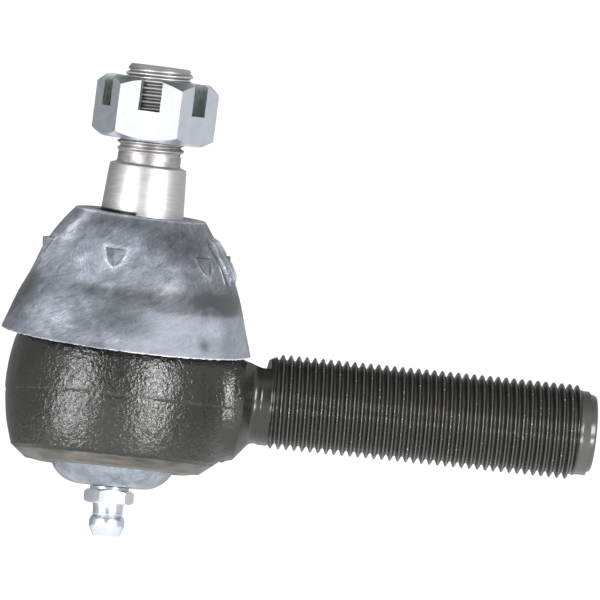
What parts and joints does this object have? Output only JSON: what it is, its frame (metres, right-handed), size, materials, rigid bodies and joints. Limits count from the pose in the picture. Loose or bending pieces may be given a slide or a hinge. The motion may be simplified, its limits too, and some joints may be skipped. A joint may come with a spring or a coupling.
{
  "type": "tie rod end",
  "caption": "Greasable steering tie rod end: ball stud with castle nut and dust boot, forged socket, threaded shank.",
  "frame": {"origin": "ball centre: the point where the shank axis crosses the housing axis, about which the stud rocks", "axes": "+X along the threaded shank towards its free end, +Z along the housing axis towards the stud, +Y away from the side that the stud leans to at rest"},
  "size_m": [0.1122, 0.0464, 0.0884],
  "materials": {
    "painted_forging": "black semi-gloss paint over a forged, pebbled skin",
    "stud_steel": "ground and turned, lightly oiled",
    "bright_zinc": "bright blue-white zinc plate",
    "dull_zinc": "dull pressed zinc plate",
    "boot_rubber": "grey-blue moulded rubber, brushed and scuffed",
    "bearing_steel": "hardened and ground",
    "seat_acetal": "natural moulded acetal",
    "spring_steel": "oil-tempered wire"
  },
  "bodies": {
    "socket": {"housing": "painted_forging", "end_cap": "dull_zinc", "grease_fitting": "bright_zinc", "preload_spring": "spring_steel", "grease_check_spring": "spring_steel"},
    "seat": {"pressure_seat": "seat_acetal"},
    "check_valve": {"grease_check_ball": "bearing_steel"},
    "boot": {"dust_boot": "boot_rubber"},
    "rocker": {"half_ball_bearing": "bearing_steel", "boot_support_ring": "dull_zinc"},
    "stud": {"ball_stud": "stud_steel"},
    "nut": {"castle_nut": "bright_zinc"}
  },
  "joints": [
    {"name": "lean_direction", "type": "hinge", "parent": "socket", "child": "boot", "pos_m": [0, 0, 0], "axis": [0, 0, 1], "continuous": true},
    {"name": "stud_lean", "type": "hinge", "parent": "boot", "child": "rocker", "pos_m": [0, 0, 0], "axis": [0.9845, 0.1754, 0], "range_deg": [-28.3, 11.7], "deforming": ["dust_boot"]},
    {"name": "stud_spin", "type": "hinge", "parent": "rocker", "child": "stud", "pos_m": [0, 0, 0], "axis": [0.0253, -0.1421, 0.9895], "continuous": true},
    {"name": "nut_turn", "type": "hinge", "parent": "stud", "child": "nut", "pos_m": [0.00127, -0.00711, 0.04948], "axis": [0.0253, -0.1421, 0.9895], "continuous": true},
    {"name": "seat_float", "type": "slide", "parent": "socket", "child": "seat", "axis": [0, 0, -1], "range_m": [0, 0.0005], "stiffness_N_per_m": 4000, "springref_m": -0.0005, "deforming": ["preload_spring"]},
    {"name": "check_ball_lift", "type": "slide", "parent": "socket", "child": "check_valve", "axis": [0, 0, 1], "range_m": [0, 0.0008], "stiffness_N_per_m": 60, "springref_m": -0.0005, "deforming": ["grease_check_spring"]}
  ]
}
